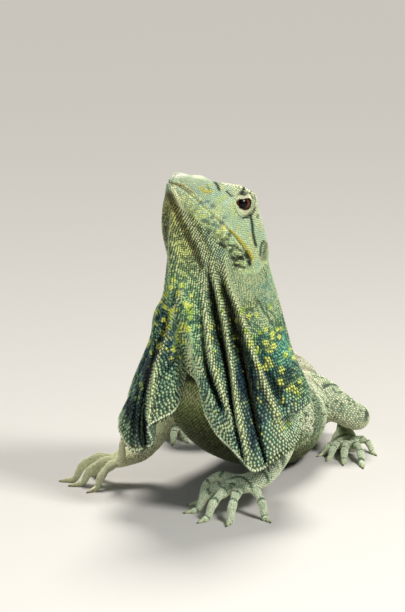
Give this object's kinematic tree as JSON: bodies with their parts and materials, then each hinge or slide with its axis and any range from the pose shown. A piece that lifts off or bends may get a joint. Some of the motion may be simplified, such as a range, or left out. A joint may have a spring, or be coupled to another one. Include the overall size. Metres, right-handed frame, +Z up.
{
  "type": "frilled lizard",
  "caption": "Still life-size frilled lizard with its front raised on straight forelegs, chin lifted, pleated frill folded down round the neck, belly and long curved tail on the floor.",
  "frame": {"origin": "on the floor, under the centre of the whole animal's bounding box", "axes": "+Z up, -Y the way the chest faces, +Y towards the tail tip, +X the animal's left"},
  "size_m": [0.113, 0.5046, 0.1151],
  "materials": {
    "skin": "matte, finely scaled",
    "belly_skin": "matte, finely scaled",
    "frill_skin": "matte, finely scaled",
    "eye": "wet gloss",
    "claw": "satin horn"
  },
  "bodies": {
    "root": {"head": "skin", "jaw": "skin", "neck": "skin", "tail_1": "skin", "tail_2": "skin", "tail_3": "skin", "tail_4": "skin", "arm_left": "skin", "forearm_left": "skin", "hand_left": "skin", "arm_right": "skin", "forearm_right": "skin", "hand_right": "skin", "thigh_left": "skin", "shin_left": "skin", "foot_left": "skin", "thigh_right": "skin", "shin_right": "skin", "foot_right": "skin", "torso": "belly_skin", "frill_left": "frill_skin", "frill_right": "frill_skin", "eye_left": "eye", "eye_right": "eye"}
  },
  "joints": []
}
